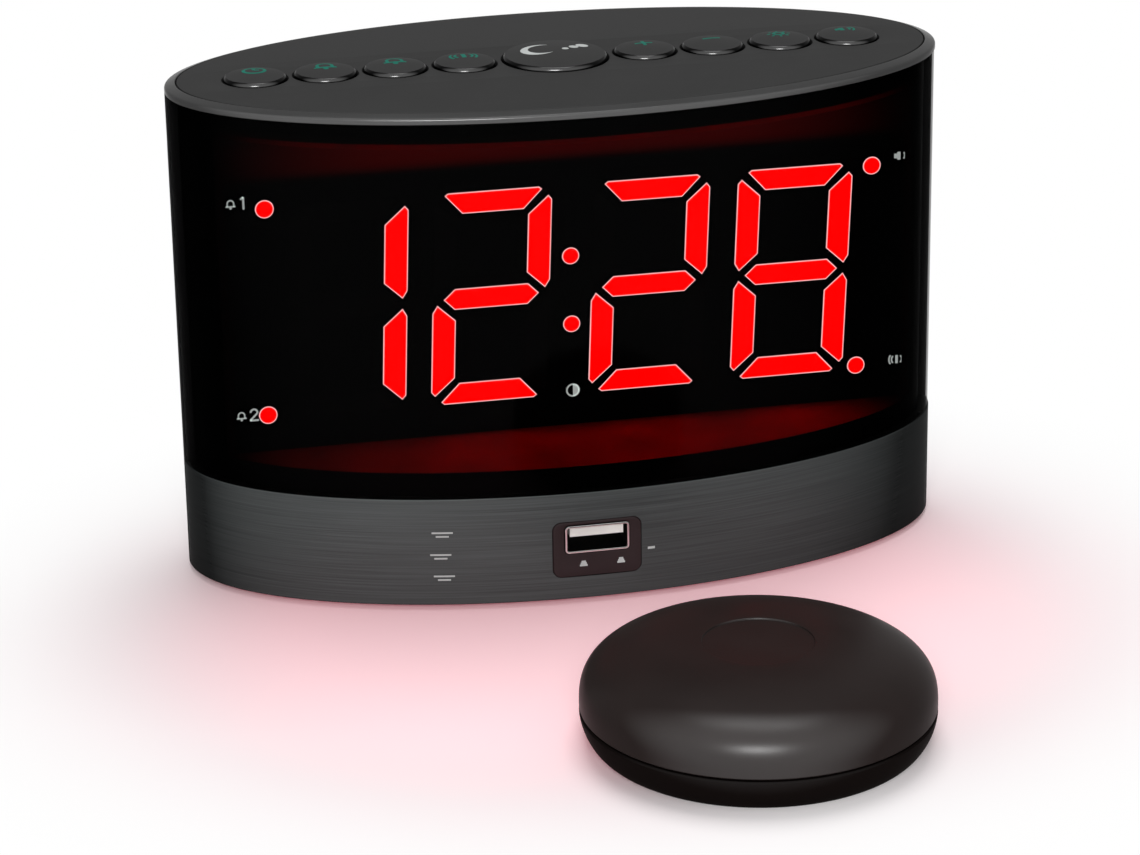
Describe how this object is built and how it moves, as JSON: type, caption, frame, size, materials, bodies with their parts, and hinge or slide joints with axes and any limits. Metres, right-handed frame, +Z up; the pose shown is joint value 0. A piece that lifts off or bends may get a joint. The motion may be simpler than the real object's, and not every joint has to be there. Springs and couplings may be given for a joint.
{
  "type": "bed shaker alarm clock",
  "caption": "Oval digital alarm clock with a curved dark lens, lit red digits, push buttons on top and a charging port, with a separate round vibrating puck for under the pillow.",
  "frame": {"origin": "middle of the clock's oval footprint, on the surface that it stands on", "axes": "+X to the right along the clock's width as its front is seen, +Y from the front to the back, +Z up"},
  "size_m": [0.16, 0.1816, 0.1066],
  "materials": {
    "housing_plastic": "fine matte moulded black",
    "band_metal": "dark brushed along the band",
    "inner_plastic": "plain matte",
    "lens_plastic": "clear smoked, polished",
    "frame_plastic": "satin dark grey",
    "top_plastic": "matte dark grey",
    "button_plastic": "satin black",
    "lit_red": "even red light",
    "unlit_smoke": "dark smoked",
    "panel_black": "dead black",
    "circuit_board": "green solder mask",
    "chip_white": "small light chips",
    "rubber_black": "matte rubber",
    "silicone_grey": "soft silicone",
    "screw_steel": "zinc plated",
    "port_plastic": "satin brown black",
    "port_metal": "bright nickel",
    "port_white": "white moulded",
    "contact_metal": "gold plated",
    "jack_plastic": "black moulded",
    "speaker_steel": "black painted steel",
    "speaker_paper": "pressed paper",
    "magnet_ferrite": "ferrite",
    "cell_steel": "stainless can",
    "puck_plastic": "soft matte brown black",
    "motor_steel": "plain steel can",
    "weight_brass": "turned brass"
  },
  "bodies": {
    "clock": {"base_cover": "housing_plastic", "rubber_feet": "rubber_black", "base_screws": "screw_steel", "base_band": "band_metal", "front_skirt": "inner_plastic", "front_lens": "lens_plastic", "rear_housing": "housing_plastic", "top_frame": "frame_plastic", "top_panel": "top_plastic", "keypad_mat": "silicone_grey", "button_board": "circuit_board", "light_box": "inner_plastic", "display_panel": "panel_black", "lit_segments": "lit_red", "unlit_segments": "unlit_smoke", "indicator_dots": "lit_red", "led_chips": "chip_white", "display_board": "circuit_board", "usb_panel": "port_plastic", "usb_shell": "port_metal", "usb_tongue": "port_white", "usb_contacts": "contact_metal", "main_board": "circuit_board", "board_screws": "screw_steel", "power_jack": "jack_plastic", "power_pin": "port_metal", "shaker_jack": "jack_plastic", "volume_switch": "jack_plastic", "dimmer_pot": "jack_plastic", "speaker_frame": "speaker_steel", "speaker_cone": "speaker_paper", "speaker_magnet": "magnet_ferrite", "backup_cell": "cell_steel", "battery_contacts": "contact_metal"},
    "button_1": {"button_1": "button_plastic"},
    "button_2": {"button_2": "button_plastic"},
    "button_3": {"button_3": "button_plastic"},
    "button_4": {"button_4": "button_plastic"},
    "button_5": {"button_5": "button_plastic"},
    "button_6": {"button_6": "button_plastic"},
    "button_7": {"button_7": "button_plastic"},
    "button_8": {"button_8": "button_plastic"},
    "snooze_button": {"snooze_button": "button_plastic"},
    "dimmer_wheel": {"dimmer_dial": "button_plastic"},
    "volume_slider": {"volume_knob": "button_plastic"},
    "cell_door": {"battery_door": "housing_plastic"},
    "shaker": {"shaker_upper_shell": "puck_plastic", "shaker_lower_shell": "puck_plastic", "shaker_screws": "screw_steel", "shaker_pad": "rubber_black", "cord_gland": "rubber_black", "shaker_motor": "motor_steel", "motor_cradle": "inner_plastic"},
    "shaker_rotor": {"motor_shaft": "motor_steel", "eccentric_weight": "weight_brass"}
  },
  "joints": [
    {"name": "button_1_press", "type": "slide", "parent": "clock", "child": "button_1", "axis": [0, 0, -1], "range_m": [0, 0.001], "stiffness_N_per_m": 900, "springref_m": -0.0003},
    {"name": "button_2_press", "type": "slide", "parent": "clock", "child": "button_2", "axis": [0, 0, -1], "range_m": [0, 0.001], "stiffness_N_per_m": 900, "springref_m": -0.0003},
    {"name": "button_3_press", "type": "slide", "parent": "clock", "child": "button_3", "axis": [0, 0, -1], "range_m": [0, 0.001], "stiffness_N_per_m": 900, "springref_m": -0.0003},
    {"name": "button_4_press", "type": "slide", "parent": "clock", "child": "button_4", "axis": [0, 0, -1], "range_m": [0, 0.001], "stiffness_N_per_m": 900, "springref_m": -0.0003},
    {"name": "button_5_press", "type": "slide", "parent": "clock", "child": "button_5", "axis": [0, 0, -1], "range_m": [0, 0.001], "stiffness_N_per_m": 900, "springref_m": -0.0003},
    {"name": "button_6_press", "type": "slide", "parent": "clock", "child": "button_6", "axis": [0, 0, -1], "range_m": [0, 0.001], "stiffness_N_per_m": 900, "springref_m": -0.0003},
    {"name": "button_7_press", "type": "slide", "parent": "clock", "child": "button_7", "axis": [0, 0, -1], "range_m": [0, 0.001], "stiffness_N_per_m": 900, "springref_m": -0.0003},
    {"name": "button_8_press", "type": "slide", "parent": "clock", "child": "button_8", "axis": [0, 0, -1], "range_m": [0, 0.001], "stiffness_N_per_m": 900, "springref_m": -0.0003},
    {"name": "snooze_press", "type": "slide", "parent": "clock", "child": "snooze_button", "axis": [0, 0, -1], "range_m": [0, 0.001], "stiffness_N_per_m": 900, "springref_m": -0.0003},
    {"name": "dimmer_turn", "type": "hinge", "parent": "clock", "child": "dimmer_wheel", "pos_m": [0.028, 0.02907, 0.01674], "axis": [0, 0, 1], "range_deg": [-140, 140]},
    {"name": "volume_slide", "type": "slide", "parent": "clock", "child": "volume_slider", "axis": [1, 0, 0], "range_m": [0, 0.003]},
    {"name": "door_turn", "type": "hinge", "parent": "clock", "child": "cell_door", "pos_m": [0.008, 0, 0.002], "axis": [0, 0, 1], "range_deg": [0, 45]},
    {"name": "shaker_lift", "type": "slide", "parent": "clock", "child": "shaker", "axis": [0, 0, 1], "range_m": [0, 0.12]},
    {"name": "weight_spin", "type": "hinge", "parent": "shaker", "child": "shaker_rotor", "pos_m": [0.029, -0.1084, 0.0102], "axis": [1, 0, 0], "continuous": true}
  ]
}
